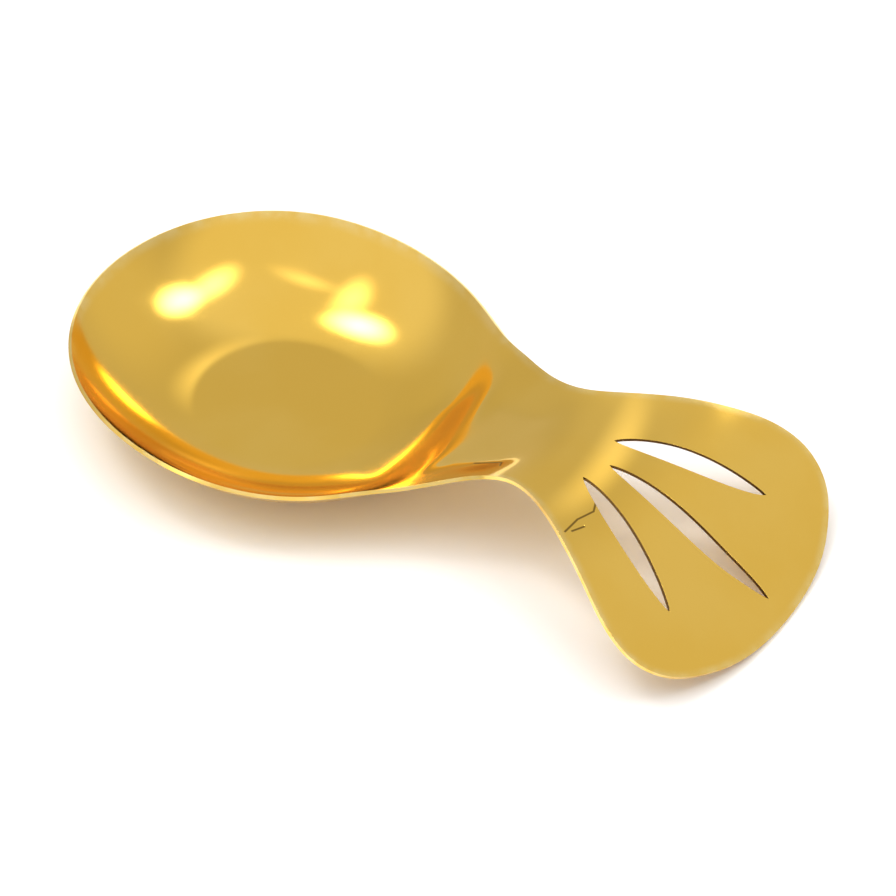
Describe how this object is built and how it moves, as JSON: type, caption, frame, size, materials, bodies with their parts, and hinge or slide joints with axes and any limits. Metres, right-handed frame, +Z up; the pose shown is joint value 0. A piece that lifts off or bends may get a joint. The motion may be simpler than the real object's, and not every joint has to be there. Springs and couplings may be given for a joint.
{
  "type": "fish-shaped spoon rest",
  "caption": "Polished gold-coloured metal spoon rest pressed as a fish, with a shallow bowl, an arched neck and a slotted tail fin.",
  "frame": {"origin": "centre of the flat patch under the bowl, on the table", "axes": "+X along the body from the bowl to the tail fin, +Z up, +Y across the body"},
  "size_m": [0.2409, 0.1214, 0.0358],
  "materials": {
    "polished_metal": "mirror polished, gold-coloured"
  },
  "bodies": {
    "root": {"body": "polished_metal"}
  },
  "joints": []
}
